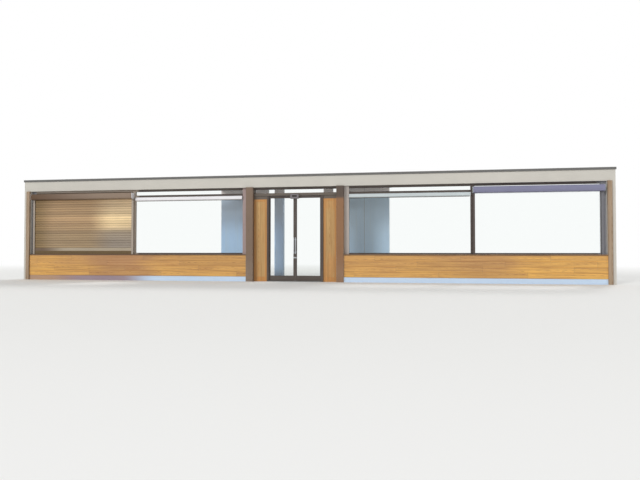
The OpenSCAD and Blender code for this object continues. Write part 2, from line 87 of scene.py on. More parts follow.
def gridFaces(rows, columns, closeRows=False):
    # quads between neighbouring points of a grid whose columns run round and close
    r, c = np.meshgrid(np.arange(rows if closeRows else rows - 1), np.arange(columns), indexing="ij")
    r, c = r.ravel(), c.ravel()
    nextR, nextC = (r + 1) % rows, (c + 1) % columns
    return np.stack([r * columns + c, r * columns + nextC, nextR * columns + nextC, nextR * columns + c], 1)


def repeated(faces, count, size):
    # the same faces for each of count copies that have size points each
    shift = np.arange(count)[:, None, None] * size
    return (np.asarray(faces)[None] + shift).reshape(-1, np.shape(faces)[1]).tolist()


def roundedOutline(width, height, radius, steps=3):
    # rectangle centred on 0 with round corners: point = a corner's centre + radius * (cos turn, sin turn)
    turn = np.linspace(0, np.pi / 2, steps + 1)
    quarter = np.arange(4)[:, None] * np.pi / 2 + turn
    centre = np.array([[1, 1], [-1, 1], [-1, -1], [1, -1]]) * [width / 2 - radius, height / 2 - radius]
    return (centre[:, None] + radius * np.stack([np.cos(quarter), np.sin(quarter)], -1)).reshape(-1, 2)


def bars(outline, starts, ends, across, up):
    # point = place on the straight path + u * across + v * up, for every outline point (u, v)
    outline, starts, ends = (np.atleast_2d(np.asarray(rows, float)) for rows in (outline, starts, ends))
    path = np.stack([starts, ends], 1)[:, :, None]
    points = path + (outline[:, :1] * across + outline[:, 1:] * up)
    count, size = len(starts), len(outline)
    ring = np.arange(size)
    caps = repeated([ring, ring + size], count, 2 * size)
    return points.reshape(-1, 3), repeated(gridFaces(2, size), count, 2 * size) + caps


def frames(outline, rectangles, y):
    # mitred frame in the plane Y = y: point = corner + u * inward diagonal + v * Y, for every (u, v)
    outline = np.asarray(outline, float)
    x0, x1, z0, z1 = np.atleast_2d(np.asarray(rectangles, float)).T
    flat = np.zeros_like(x0) + y
    corner = np.stack([np.stack([x0, flat, z0], -1), np.stack([x1, flat, z0], -1),
                       np.stack([x1, flat, z1], -1), np.stack([x0, flat, z1], -1)], 1)
    inward = np.array([[1, 0, 1], [-1, 0, 1], [-1, 0, -1], [1, 0, -1]], float)
    points = corner[:, :, None] + outline[:, :1] * inward[None, :, None] + outline[:, 1:] * alongY
    size = 4 * len(outline)
    return points.reshape(-1, 3), repeated(gridFaces(4, len(outline), True), len(corner), size)


def turned(outline, centres, axis, count=16):
    # point = centre + radius * (cos angle, sin angle) across the axis + height along it,
    # for every (radius, height) of the outline
    outline, centres = np.asarray(outline, float), np.atleast_2d(np.asarray(centres, float))
    first = np.roll(np.abs(axis), 1)
    second = np.cross(axis, first)
    angle = np.arange(count) * 2 * np.pi / count
    circle = np.cos(angle)[:, None] * first + np.sin(angle)[:, None] * second
    shape = outline[:, 0][:, None, None] * circle + outline[:, 1][:, None, None] * axis
    points = centres[:, None, None] + shape
    size = len(outline) * count
    ring = np.arange(count)
    caps = repeated([ring, ring + size - count], len(centres), size)
    return points.reshape(-1, 3), repeated(gridFaces(len(outline), count), len(centres), size) + caps


def together(*surfaces):
    # several surfaces as the points and faces of one mesh
    points, faces, start = [], [], 0
    for somePoints, someFaces in surfaces:
        points.append(somePoints)
        faces += [[i + start for i in face] for face in someFaces]
        start += len(somePoints)
    return np.concatenate(points), faces


def place(name, surface, finish, body="root", slotName=None):
    # the surface as a piece that rides its body, with a slot holding the finish's material
    points, faces = surface
    slotName = slotName or finish
    mesh = bpy.data.meshes.new(name)
    mesh.from_pydata(points.tolist(), [], faces)
    shell = bmesh.new()
    shell.from_mesh(mesh)
    bmesh.ops.recalc_face_normals(shell, faces=shell.faces)
    shell.to_mesh(mesh)
    shell.free()
    mesh.shade_smooth()
    mesh.set_sharp_from_angle(angle=crease)
    mesh.materials.append(paints[finish])
    piece = bpy.data.objects.new(name, mesh)
    bpy.context.scene.collection.objects.link(piece)
    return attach(piece, body)


def mirrored(rows):
    # places on the right-hand side and their mirror images on the left
    rows = np.atleast_2d(np.asarray(rows, float))
    return np.concatenate([rows, rows * [-1, 1, 1]])


def mirroredFrames(rows):
    # rectangles x0, x1, z0, z1 on the right-hand side and their mirror images on the left
    rows = np.atleast_2d(np.asarray(rows, float))
    return np.concatenate([rows, rows[:, [1, 0, 2, 3]] * [-1, -1, 1, 1]])


def outwards(places, distance):
    # the way from each place to one that is the distance further from the entrance
    return np.sign(places[:, :1]) * [distance, 0, 0]


def tone(code):
    # a colour as written on screen, as linear light
    screen = np.array([int(code[i:i + 2], 16) for i in (0, 2, 4)]) / 255
    return (*np.where(screen < 0.04045, screen / 12.92, ((screen + 0.055) / 1.055) ** 2.4), 1.0)


class Field:
    # a shader socket, so that sums on it can be written as Python expressions
    def __init__(self, paint, socket):
        self.paint, self.socket = paint, socket

    def math(self, operation, *rest):
        return self.paint.node("Math", {"operation": operation}, dict(enumerate((self, *rest))))

    def __add__(self, other):
        return self.math("ADD", other)

    def __sub__(self, other):
        return self.math("SUBTRACT", other)

    def __rsub__(self, other):
        return self.paint.node("Math", {"operation": "SUBTRACT"}, {0: other, 1: self})

    def __mul__(self, other):
        return self.math("MULTIPLY", other)

    def __truediv__(self, other):
        return self.math("DIVIDE", other)

    def __pow__(self, other):
        return self.math("POWER", other)

    def __mod__(self, other):
        return self.math("FLOORED_MODULO", other)

    def __lt__(self, other):
        return self.math("LESS_THAN", other)

    def __gt__(self, other):
        return self.math("GREATER_THAN", other)

    def __abs__(self):
        return self.math("ABSOLUTE")

    def __floor__(self):
        return self.math("FLOOR")

    def sine(self):
        return self.math("SINE")

    def steps(self, low, high):
        # 0 at low, 1 at high, and a soft step between them
        return self.paint.node("MapRange", {"interpolation_type": "SMOOTHSTEP"}, {0: self, 1: low, 2: high})

    def between(self, rise, fall):
        # 1 from the end of the rise to the start of the fall, and 0 outside both
        return self.steps(*rise) * (1 - self.steps(*fall))

    __radd__ = __add__
    __rmul__ = __mul__


class Sheet:
    # a node tree that is filled by expressions
    def __init__(self, tree):
        self.tree = tree

    def feed(self, socket, value):
        if isinstance(value, Field):
            self.tree.links.new(value.socket, socket)
        else:
            socket.default_value = value

    def node(self, kind, settings, sockets, output=0):
        made = self.tree.nodes.new("ShaderNode" + kind)
        for key, value in settings.items():
            setattr(made, key, value)
        for key, value in sockets.items():
            self.feed(made.inputs[key], value)
        return Field(self, made.outputs[output])

    def at(self, x, y, z):
        return self.node("CombineXYZ", {}, {0: x, 1: y, 2: z})

    def noise(self, where, scale=1.0, detail=3.0, roughness=0.55):
        sockets = {"Vector": where, "Scale": scale, "Detail": detail, "Roughness": roughness}
        return self.node("TexNoise", {}, sockets)

    def random(self, where):
        return self.node("TexWhiteNoise", {}, {"Vector": where})

    def mix(self, first, second, share):
        return self.node("Mix", {"data_type": "RGBA"}, {0: share, 6: first, 7: second}, 2)

    def shade(self, colour, amount):
        # the colour made darker or lighter by a grey amount round 1
        settings = {"data_type": "RGBA", "blend_type": "MULTIPLY"}
        grey = self.at(amount, amount, amount)
        return self.node("Mix", settings, {0: 1.0, 6: colour, 7: grey}, 2)

    def seen(self):
        # 1 for what the camera sees straight, mirrored or through glass
        rays = [self.node("LightPath", {}, {}, f"Is {ray} Ray")
                for ray in ("Camera", "Glossy", "Transmission")]
        return rays[0].math("MAXIMUM", rays[1]).math("MAXIMUM", rays[2])


class Paint(Sheet):
    # a material with the object's own coordinates at hand
    def __init__(self, name, **shader):
        self.material = bpy.data.materials.new(name)
        self.material.use_nodes = True
        super().__init__(self.material.node_tree)
        self.bsdf = self.tree.nodes["Principled BSDF"]
        for socket, value in shader.items():
            self.feed(self.bsdf.inputs[socket.replace("_", " ")], value)
        self.place = self.node("TexCoord", {}, {}, "Object")
        self.x, self.y, self.z = (self.node("SeparateXYZ", {}, {0: self.place}, axis) for axis in "XYZ")

    def finish(self, colour, roughness=None, height=None, depth=0.001):
        self.feed(self.bsdf.inputs["Base Color"], colour)
        if roughness is not None:
            self.feed(self.bsdf.inputs["Roughness"], roughness)
        if height is not None:
            normal = self.node("Bump", {}, {"Height": height, "Distance": depth, "Strength": 1.0})
            self.feed(self.bsdf.inputs["Normal"], normal)
        return self.material


def baseTone(paint, colour):
    # one tone for the whole piece, or a function that varies it over the piece
    return colour(paint) if callable(colour) else tone(colour)


def stagger(row):
    # how many battens the joints of a row of boards are moved by: 0, 2, 1 and 3 in the first four rows
    return math.floor(row * 2.5 % 4)


# what every wood has unless its own look says otherwise
woodUsual = {"varnish": 0.12, "origin": 0.0, "rings": 820, "sway": 16, "knots": 0.5,
             "heartShift": 0.07, "heartAt": 0.35, "slant": 0.035}


def wood(name, look):
    # boards with their own tone, growth rings round a slanting heart, knots, fine pores and butt joints
    look = {**woodUsual, **look}
    paint = Paint(name, Coat_Weight=look["varnish"], Coat_Roughness=0.3)
    along, across = (paint.x, paint.z) if look["along"] == "x" else (paint.z, paint.x)
    rows = (across - look["start"]) / look["width"]
    board = math.floor(rows)
    cut = (abs(along) - look["origin"]) / look["length"] + stagger(board) / batten["perBoard"]
    own = paint.random(paint.at(board, math.floor(cut), along > 0))     # one for each length of board
    sway = paint.noise(paint.at(along * 0.55 + own * 50, paint.y, across * 5), 1.0, 2.0, 0.4)
    beside = (rows - board - 0.5) * look["width"] + (own - 0.5) * look["heartShift"]
    behind = (cut - math.floor(cut) - look["heartAt"]) * (look["length"] * look["slant"])
    heart = (beside ** 2 + behind ** 2) ** 0.5
    late = ((heart * look["rings"] + sway * look["sway"]).sine() * 0.5 + 0.5) ** 2.5    # dark rings
    broad = paint.noise(paint.at(along * 0.8 + own * 30, paint.y * 4, across * 26), 1.0, 4.0, 0.6)
    fibre = paint.noise(paint.at(along * 6 + own * 90, paint.y * 60, across * 380), 1.0, 3.0, 0.6)
    pores = paint.noise(paint.at(along * 14, paint.y * 90, across * 800), 1.0, 2.0).steps(0.60, 0.70)
    cells = paint.at(along * 1.7 + own * 9, 0.0, across * 9)
    knot = 1 - paint.node("TexVoronoi", {}, {"Vector": cells, "Scale": 1.0}).steps(0.02, 0.13)
    light = paint.mix(tone(look["light"]), tone(look["other"]), look["drift"](paint, own))
    grain = (broad.steps(0.25, 0.75) * 0.55 + (1 - late) * 0.26 + fibre * 0.35).steps(0.05, 1.0)
    colour = paint.mix(tone(look["dark"]), light, grain)
    colour = paint.shade(colour, own * look["spread"] + (1 - look["spread"] / 2) - pores * 0.12)
    colour = paint.mix(colour, tone(look["knot"]), knot * look["knots"])
    height = fibre * 0.35 - late * 0.15 - pores * 0.4
    roughness = look["rough"] + (broad - 0.5) * 0.16 + pores * 0.1
    if "joint" in look:
        gap = abs(cut - math.floor(cut + 0.5)) * look["length"]
        joint = 1 - gap.steps(0.0008, 0.0018)
        colour = paint.mix(colour, tone(look["joint"]), joint * 0.8)
        height = height - joint * 1.5
    return paint.finish(colour, roughness, height, 0.0006)


def metal(name, look):
    # anodised or painted sheet: faint drawing lines along it, hand marks, dust that gathers low down
    paint = Paint(name, Metallic=look["metallic"])
    x, y, z = paint.x, paint.y, paint.z
    fine = paint.noise(paint.place, 420.0, 2.0)
    across = paint.at(x * look["lines"][0], y * look["lines"][1], z * look["lines"][2])
    drawn = paint.noise(across, 1.0, 3.0)
    cloud = paint.noise(paint.place, 1.7, 4.0)
    touched = paint.noise(paint.place, 9.0, 5.0, 0.7).steps(0.52, 0.72)
    scratch = paint.noise(paint.at(x * 140, y * 9, z * 6), 1.0, 2.0).steps(0.70, 0.76)
    amount = 0.86 + drawn * 0.14 + cloud * 0.14 - touched * look["wear"] * 0.5 + scratch * look["wear"]
    colour = paint.shade(baseTone(paint, look["colour"]), amount)
    dust = look.get("dust", 0.15) * (1 - z.steps(0.0, 0.9)) * cloud
    colour = paint.mix(colour, tone("b3aca0"), dust)
    roughness = look["rough"] + (drawn - 0.5) * 0.12 + touched * 0.12 + dust * 0.4
    height = fine * 0.3 + drawn * 0.4 - scratch * look["wear"]
    return paint.finish(colour, roughness, height, look.get("depth", 0.0003))


def plaster(name, look):
    # masonry render: trowelled unevenness and a fine grain, and outdoors rain streaks and a dirty foot
    paint = Paint(name)
    x, y, z = paint.x, paint.y, paint.z
    grain = paint.noise(paint.place, look["grain"], 4.0, 0.7)
    trowel = paint.noise(paint.at(x * 2.2, y * 2.2, z * 3.1), 1.0, 4.0)
    streak = paint.noise(paint.at(x * 5, y * 5, z * 0.35), 1.0, 5.0, 0.65).steps(0.5, 0.78)
    cloud = paint.noise(paint.place, 0.55, 4.0)
    outside = y.steps(0.1, 0.2)
    foot = (1 - z.steps(0.02, 0.45)) * trowel * outside
    amount = 0.90 + (grain - 0.5) * 0.16 + (trowel - 0.5) * 0.10 + (cloud - 0.5) * 0.16
    colour = paint.shade(baseTone(paint, look["colour"]), amount - streak * outside * look["streaks"])
    colour = paint.mix(colour, tone("6d665b"), foot * look.get("foot", 0.9))
    height = grain * 0.6 + trowel * 1.4
    return paint.finish(colour, 0.86 + (grain - 0.5) * 0.12, height, look["depth"])


def rubber(name, code):
    # rubber, sealant and soft plastic: dull, a little cloudy, with a fine grain
    paint = Paint(name)
    cloud = paint.noise(paint.place, 14.0, 3.0)
    grain = paint.noise(paint.place, 900.0, 2.0)
    colour = paint.shade(tone(code), 0.8 + cloud * 0.5)
    return paint.finish(colour, 0.62 + cloud * 0.25, grain, 0.0002)


def clearGlass(name):
    # clear float glass, whose modelled thickness bends the light
    paint = Paint(name, Roughness=0.0, IOR=1.5, Transmission_Weight=1.0)
    return paint.finish(tone("f8fbfa"))


def slats(name, look):
    # coated slats, each in its own tone, a painted reflection over every few and a painted highlight towards
    # the entrance
    paint = Paint(name, Metallic=0.25, Coat_Weight=0.35, Coat_Roughness=0.22)
    x, y, z = paint.x, paint.y, paint.z
    above = z - look["low"]
    row = math.floor(above / look["pitch"])
    own = paint.random(paint.at(row, 2.0, 5.0))
    # painted reflection: a wave that makes every few slats lighter and darker
    paintedReflectionWave = (above * (2 * math.pi / look["paintedReflectionWave"])).sine() * 0.5 + 0.5
    drawn = paint.noise(paint.at(x * 0.8, y * 30, z * 160), 1.0, 3.0)
    cloud = paint.noise(paint.at(x * 0.7, y, z * 2.5), 1.0, 4.0)
    toward = x.steps(*look["toward"])
    lower, upper, paintedHighlight = (paint.mix(tone(far), tone(near), toward)
                            for far, near in (look["lower"], look["upper"], look["paintedHighlight"]))
    base = paint.mix(lower, upper, z.steps(look["low"], look["high"]))
    # painted highlight of the lamps on the slats' front, brighter towards the entrance
    base = paint.mix(base, paintedHighlight, z.between(*look["band"]) * (0.5 + cloud) * (y < look["back"]))
    # painted shadow: darker towards the far left end
    base = paint.mix(tone(look["corner"]), base, x.steps(*look["paintedShadowEnds"]) * 0.75 + 0.25)
    amount = 0.78 + own * 0.14 + paintedReflectionWave * 0.26 + (drawn - 0.5) * 0.12 + (cloud - 0.5) * 0.34
    within = above / look["pitch"] % 1.0
    seam = 1 - (0.5 - abs(within - 0.5)).steps(0.02, 0.09)
    colour = paint.mix(paint.shade(base, amount), tone(look["seam"]), seam * 0.75)
    return paint.finish(colour, 0.34 + drawn * 0.16 + cloud * 0.12, drawn * 0.4, 0.0003)


# the next functions say how far a wood's light tone has drifted to its other tone
driftAndShadePlaces = {"boardShift": 1.0, "leftEnd": (-8.4, -7.4), "rightEnd": (5.9, 7.0), "low": (0.15, 0.60),
          "shaded": ((-7.1, -6.1), (-5.0, -4.0)), "dull": ((3.9, 4.9), (5.6, 6.5))}


def driftAndShade(paint, own):
    # how far each board's tone has drifted: least under the lowered shutter, where it is painted shade, most
    # at the right-hand end
    x = paint.x + (own - 0.5) * driftAndShadePlaces["boardShift"]
    # painted shade under the lowered shutter, and a duller stretch to the right of the entrance
    shaded, dull = x.between(*driftAndShadePlaces["shaded"]), x.between(*driftAndShadePlaces["dull"])
    cloud = paint.noise(paint.place, 0.9, 3.0) - 0.5
    low = 1 - paint.z.steps(*driftAndShadePlaces["low"])
    ends = x.steps(*driftAndShadePlaces["rightEnd"]) * 0.38 + (1 - x.steps(*driftAndShadePlaces["leftEnd"])) * 0.2
    return 0.50 + (ends + low * 0.25) - shaded * 0.46 - dull * 0.18 + cloud * 0.3


def toRight(paint, own):
    # lighter towards the right-hand end
    return paint.x.steps(-4.0, 3.0)


def patches(paint, own):
    # soft upright blotches
    return paint.noise(paint.at(paint.x * 1.6, paint.y, paint.z * 1.1), 1.0, 3.0).steps(0.48, 0.66)


def cornerPostSides(paint, own):
    # 0 on the paler half of the post beside the windows and 1 on the darker half
    wander = paint.noise(paint.at(0.0, 0.0, paint.z * 1.4), 1.0, 3.0) - 0.5
    return (abs(paint.x) + wander * 0.05).steps(cornerMid - 0.02, cornerMid + 0.03)


def sideDrift(paint, own):
    # 1 on the border round the sunk field, and blotches of the same warm tone in the field
    x, z = abs(paint.x), paint.z
    field = ((x > panelX + sideBorder) * (x < postX - sideBorder)
             * (z > panelLow + 2 * sideBorder) * (z < panelHigh - sideBorder))
    return (1 - field).math("MAXIMUM", patches(paint, own) * 0.6)


def jambTone(paint):
    # the jambs by the entrance are lighter indoors, painted light where light falls on their reveals, those
    # at the ends of the wall are bare
    near = paint.mix(tone("a89491"), tone("bcb3ac"), paint.x > 0)
    near = paint.mix(near, tone("96918c"), paint.y > glassOut)
    return paint.mix(near, tone("8f9096"), abs(paint.x).steps(4.0, 5.0))


def frameTone(paint):
    # paler round the window on the far left, a painted highlight of glare, and cooler at the right-hand end
    base = paint.mix(tone("564d48"), tone("aca093"), paint.x.steps(-5.0, -5.14))
    return paint.mix(base, tone("77767b"), paint.x.steps(8.5, 8.62))


def cassetteTone(paint):
    # paler on the left
    return paint.mix(tone("f0eef1"), tone("c8d1d3"), paint.x > 0)


def boxTone(paint):
    # darker and browner towards the far left, bluish on the right
    left = paint.mix(tone("563b22"), tone("8f7c6c"), paint.x.steps(-9.4, -5.9))
    return paint.mix(left, tone("81819b"), paint.x.steps(-2.0, 2.0))


def endBarTone(paint):
    # painted shadow: darker in the far left corner
    return paint.mix(tone("74614f"), tone("b0a28d"), paint.x.steps(-8.4, -7.5))


def skirtingTone(paint):
    # a painted reflection of daylight, bright and bluish, and painted shade, duller under the lowered shutter
    # and brownish at the far left
    dull = paint.mix(tone("b9967c"), tone("9f8c98"), paint.x.steps(-8.2, -6.8))
    return paint.mix(dull, tone("cfe6ff"), paint.x.steps(-5.6, -4.4))


# tones of the porch: where there are two, the second is on the faces to the wall, lighter and bluer as
# painted light
porchLook = {"left": ("9fb4c6", "bcdcff"), "right": ("a3b2bb", "c9e2f8"), "low": ("8fa3b6", "b4d8fb"),
             "band": ("b0aca7", "efe0dd"), "columns": "bcd8ff", "paintedLightTopLeft": "dbeaff", "uprightStreaks": "ccd6da",
             "face": 0.03, "columnsTo": 1.5}        # depth of what counts as face, reach of the columns in X


def porchTone(paint):
    # painted light: lighter and bluer on the faces to the wall, which lie in shade, and paler at the top on
    # the left;
    # duller towards the foot, with thin upright streaks and a bare grey band at the top
    x, y, z = paint.x, paint.y, paint.z
    inner = y < porchIn + porchLook["face"]
    pairs = (porchLook[part] for part in ("left", "right", "low", "band"))
    left, right, low, band = (paint.mix(tone(away), tone(facing), inner) for away, facing in pairs)
    base = paint.mix(left, right, x.steps(-1.0, 1.0))
    base = paint.mix(base, tone(porchLook["columns"]), (abs(x) < porchLook["columnsTo"]) * inner)
    # painted light: paler at the top on the left, where the canopy's shade is deepest
    base = paint.mix(base, tone(porchLook["paintedLightTopLeft"]), (x < 0.0) * inner * z.steps(1.3, 2.5) * 0.85)
    base = paint.mix(base, low, (1 - z.steps(0.2, 2.2)) * 0.5)
    uprightStreaks = paint.noise(paint.at(x * 22, y * 22, z * 0.4), 1.0, 4.0).steps(0.5, 0.75)
    base = paint.mix(base, tone(porchLook["uprightStreaks"]), uprightStreaks * (inner * 0.15 + 0.2))
    return paint.mix(base, band, z > porchBand)


# where the posts' paint is rubbed and scuffed
wear = {"edge": (0.004, 0.020), "front": (-0.056, -0.040), "hands": ((0.0, 0.1), (0.9, 1.6)),
        "scuffed": (0.12, 0.42), "bare": "a79d92", "scuff": "2c2623"}


def worn(paint, base):
    # paint rubbed thin along the posts' corners, most of all below the height of a shoulder
    x, y, z = paint.x, paint.y, paint.z
    off = abs(x)
    edge = 1 - (off - postX).math("MINIMUM", nearX - off).steps(*wear["edge"])
    front = 1 - y.steps(*wear["front"])
    chips = paint.noise(paint.at(x * 60, y * 60, z * 22), 1.0, 5.0, 0.7)
    rubbed = edge * front * (chips + z.between(*wear["hands"]) * 0.10).steps(0.58, 0.64)
    scuffs = paint.noise(paint.at(x * 9, y * 9, z * 60), 1.0, 4.0, 0.7).steps(0.60, 0.66)
    colour = paint.mix(base, tone(wear["scuff"]), scuffs * (1 - z.steps(*wear["scuffed"])) * 0.55)
    return paint.mix(colour, tone(wear["bare"]), rubbed * 0.7)


def leftPostTone(paint):
    return worn(paint, tone("7e6a5a"))


def rightPostTone(paint):
    # painted shadow: the top is darker than the rest
    return worn(paint, paint.mix(tone("8e694b"), tone("5b4e45"), paint.z.steps(2.45, 2.55)))


woods = {
    "panel_wood": {
        "along": "x", "start": 0.15, "width": 0.16, "length": batten["step"] * batten["perBoard"],
        "origin": batten["first"], "light": "b88c62", "other": "f2bc60", "dark": "a47449",
        "joint": "4a3420", "knot": "7d4d28", "spread": 0.12, "rough": 0.42, "drift": driftAndShade},
    "board_wood": {
        "along": "x", "start": -0.2, "width": 1.0, "length": 3.5, "origin": 0.4, "light": "6f563f",
        "other": "94724f", "dark": "553f2e", "joint": "2c2017", "knot": "2c2017", "knots": 0.0,
        "spread": 0.08, "rough": 0.36, "drift": toRight},
    "post_wood": {
        "along": "z", "start": 0.0, "width": 0.3, "length": 9.0, "light": "ab957d", "other": "96795a",
        "dark": "7f6448", "knot": "5b3f28", "spread": 0.0, "rough": 0.45, "drift": cornerPostSides},
    "side_wood": {
        "along": "z", "start": 0.79, "width": 0.55, "length": 9.0, "sway": 30, "light": "c8a26a",
        "other": "cb8f50", "dark": "a67b46", "knot": "6d4824", "spread": 0.0, "knots": 0.2, "rough": 0.40,
        "drift": sideDrift}}

# lines: how closely the drawing lines follow each other in X, Y and Z
metals = {
    "frame_metal": {
        "colour": frameTone, "metallic": 0.35, "rough": 0.42, "lines": (1, 60, 60), "wear": 0.06},
    "jamb_metal": {
        "colour": jambTone, "metallic": 0.2, "rough": 0.45, "lines": (60, 60, 1), "wear": 0.08},
    "head_metal": {
        "colour": "6a6158", "metallic": 0.25, "rough": 0.45, "lines": (1, 60, 60), "wear": 0.06},
    "post_left": {
        "colour": leftPostTone, "metallic": 0.15, "rough": 0.5, "lines": (60, 60, 1), "wear": 0.14,
        "dust": 0.3},
    "post_right": {
        "colour": rightPostTone, "metallic": 0.15, "rough": 0.5, "lines": (60, 60, 1), "wear": 0.14,
        "dust": 0.3},
    "skirting_metal": {
        "colour": skirtingTone, "metallic": 0.35, "rough": 0.34, "lines": (1, 90, 90), "wear": 0.06,
        "dust": 0.2},
    "box_metal": {
        "colour": boxTone, "metallic": 0.2, "rough": 0.45, "lines": (1, 60, 60), "wear": 0.05},
    "end_bar_metal": {
        "colour": endBarTone, "metallic": 0.35, "rough": 0.38, "lines": (1, 90, 90), "wear": 0.06},
    "cassette_metal": {
        "colour": cassetteTone, "metallic": 0.25, "rough": 0.4, "lines": (1, 60, 60), "wear": 0.04},
    "threshold_metal": {
        "colour": "a5a7a8", "metallic": 0.8, "rough": 0.35, "lines": (2, 160, 160), "wear": 0.2,
        "dust": 0.5},
    "hinge_steel": {
        "colour": "8f9193", "metallic": 0.9, "rough": 0.3, "lines": (90, 90, 4), "wear": 0.04,
        "depth": 0.00008},
    "handle_steel": {
        "colour": "c3c5c7", "metallic": 1.0, "rough": 0.28, "lines": (120, 120, 6), "wear": 0.0,
        "depth": 0.00004},
    "roof_metal": {
        "colour": "6f6e6c", "metallic": 0.5, "rough": 0.42, "lines": (1, 40, 40), "wear": 0.10},
    "blank_panel": {
        "colour": "7d6a58", "metallic": 0.0, "rough": 0.6, "lines": (1, 30, 30), "wear": 0.05},
    "sensor_plastic": {
        "colour": "777276", "metallic": 0.0, "rough": 0.42, "lines": (1, 1, 1), "wear": 0.03}}

plasters = {
    "render": {"colour": "d5d1c8", "grain": 160.0, "streaks": 0.22, "depth": 0.0022},
    "canopy_render": {"colour": "cbc8c1", "grain": 110.0, "streaks": 0.18, "depth": 0.0020, "foot": 0.0},
    "sill_stone": {"colour": "9a9791", "grain": 420.0, "streaks": 0.15, "depth": 0.0006, "foot": 0.0},
    "porch_render": {"colour": porchTone, "grain": 150.0, "streaks": 0.14, "depth": 0.0016}}

rubbers = {"foot_rubber": "2f2a26", "shutter_foot": "6a583d", "sealant": "8e8b86"}

# pairs of tones are those at the far end and by the entrance, the band is where the painted highlight comes
# and goes
slatLook = {
    "low": limits("shutter_curtain", 2)[0], "high": limits("shutter_curtain", 2)[1],
    "back": limits("shutter_curtain", 1)[1] - 0.003, "pitch": 0.0775, "paintedReflectionWave": 0.29,
    "toward": (-6.8, -5.85), "band": ((1.44, 1.84), (1.90, 2.42)),
    "upper": ("ad8d67", "cbb08a"), "lower": ("a48c6b", "968a7c"), "paintedHighlight": ("b7966f", "f4d7a6"),
    # the corner tone is a painted shadow at the far left end
    "corner": "7c6337", "paintedShadowEnds": (-8.6, -7.9), "seam": "463829"}

paints = {"glass": clearGlass("glass"), "slat_metal": slats("slat_metal", slatLook)}
for make, looks in ((wood, woods), (metal, metals), (plaster, plasters), (rubber, rubbers)):
    paints.update({name: make(name, look) for name, look in looks.items()})

# nodes whose finish differs from the one that their slot names
ownPaint = {"entrance_post_left": "post_left", "entrance_post_right": "post_right",
            "shutter_foot": "shutter_foot"}
for row in frame["record"]["subparts"]:
    target = nodes[row["node"]].data
    target.materials.clear()
    target.materials.append(paints[ownPaint.get(row["node"], row["material_slot"])])
print("finishes:", len(paints))


# window seals, cover screws and drain caps
seal = {"width": 0.006, "thickness": 0.004}
sealOutline = np.array([[0, 0], [1, 0], [0.75, 0.8], [0.4, 1], [0, 1]]) * [
    seal["width"], seal["thickness"]]
bays = [bayEdges[:2], bayEdges[2:]]
panes = mirroredFrames([[start, end, low, high] for start, end in bays
                        for low, high in ((glassLow, transomLow), (transomHigh, headLow))])
panes = np.concatenate([panes, [[-postX, postX, transomHigh, headLow]]])
place("window_seals", together(
    frames(sealOutline * [1, -1], panes, glassIn), frames(sealOutline, panes, glassOut)), "foot_rubber")

screw = {"radius": 0.0045, "height": 0.0028, "first": 0.08, "step": 0.28, "aside": 0.016}
screwHead = np.array([[1, 0], [1, 0.35], [0.8, 0.8], [0.4, 1], [0.28, 0.55]]) * [
    screw["radius"], screw["height"]]
stripIn, stripOut = limits("mullions", 1)
mullionMid = (bayEdges[1] + bayEdges[2]) / 2
stripHeights = np.arange(boardTop + screw["first"], headLow, screw["step"])
outScrews = mirrored([[mullionMid, stripOut, z] for z in stripHeights])
inScrews = mirrored([[mullionMid - screw["aside"], stripIn, z] for z in stripHeights])
place("cover_screws", together(
    turned(screwHead, outScrews, alongY, count=10),
    turned(screwHead, inScrews, -alongY, count=10)), "hinge_steel")

drain = {"width": 0.034, "height": 0.009, "depth": 0.005, "corner": 0.003, "inset": 0.35, "under": 0.026}
drainPlaces = mirrored([[x, frameOut, glassLow - drain["under"]] for start, end in bays
                        for x in (start + drain["inset"], (start + end) / 2, end - drain["inset"])])
place("drain_caps", bars(
    roundedOutline(drain["width"], drain["height"], drain["corner"]),
    drainPlaces, drainPlaces + [0, drain["depth"], 0], alongX, alongZ), "foot_rubber")

# sealant between the frames and the masonry outside, and in the joints of the porch walls
sealant = {"width": 0.009, "porch": 0.0048}
sillTop = limits("outer_sills", 2)[1]
lintelLow = limits("lintel", 2)[0]
wedge = np.array([[0, 0], [1, 0], [0.42, 0.42], [0, 1]]) * sealant["width"]
beads = [frames(wedge, mirroredFrames([[nearX, pierX, sillTop, lintelLow]]), frameOut)]
jointX, jointEdge = marks("porch_walls", 0)[-3:-1]
filled = np.array([[0, 0], [1, 1], [0.4, 0.85], [-0.4, 0.85], [-1, 1]]) * sealant["porch"]
for y, way in ((porchIn, -1), (porchOut, 1)):
    jointFoot = mirrored([[jointX, y - way * (jointEdge - jointX), 0.0]])
    jointTop = jointFoot + [0, 0, limits("porch_walls", 2)[1]]
    beads.append(bars(filled * [1, way], jointFoot, jointTop, alongX, alongY))
place("sealant", together(*beads), "sealant", slotName="foot_rubber")

# pins by both edges of each board of the panelling: one at a batten, two where boards meet, one at the ends
pin = {"radius": 0.0032, "height": 0.0009, "edge": 0.035, "beside": 0.014, "end": 0.03}
pinHead = np.array([[1, 0], [0.85, 0.8], [0.4, 1]]) * [pin["radius"], pin["height"]]
panelFront = limits("panelling", 1)[0]
grooves = marks("panelling", 2)
boardEdges = np.concatenate([grooves[:1], grooves[2:-2:3], grooves[-1:]])
battens = np.arange(batten["first"], pierX - batten["end"], batten["step"])
pinPlaces = []
for row, (low, high) in enumerate(zip(boardEdges[:-1], boardEdges[1:])):
    meets = (np.arange(len(battens)) + stagger(row)) % batten["perBoard"] == 0
    across = np.concatenate([battens[~meets], battens[meets] - pin["beside"], battens[meets] + pin["beside"],
                             [nearX + pin["end"], pierX - pin["end"]]])
    pinPlaces += [[x, panelFront, z] for z in (low + pin["edge"], high - pin["edge"]) for x in across]
place("panelling_pins", turned(pinHead, mirrored(pinPlaces), -alongY, count=8), "hinge_steel")

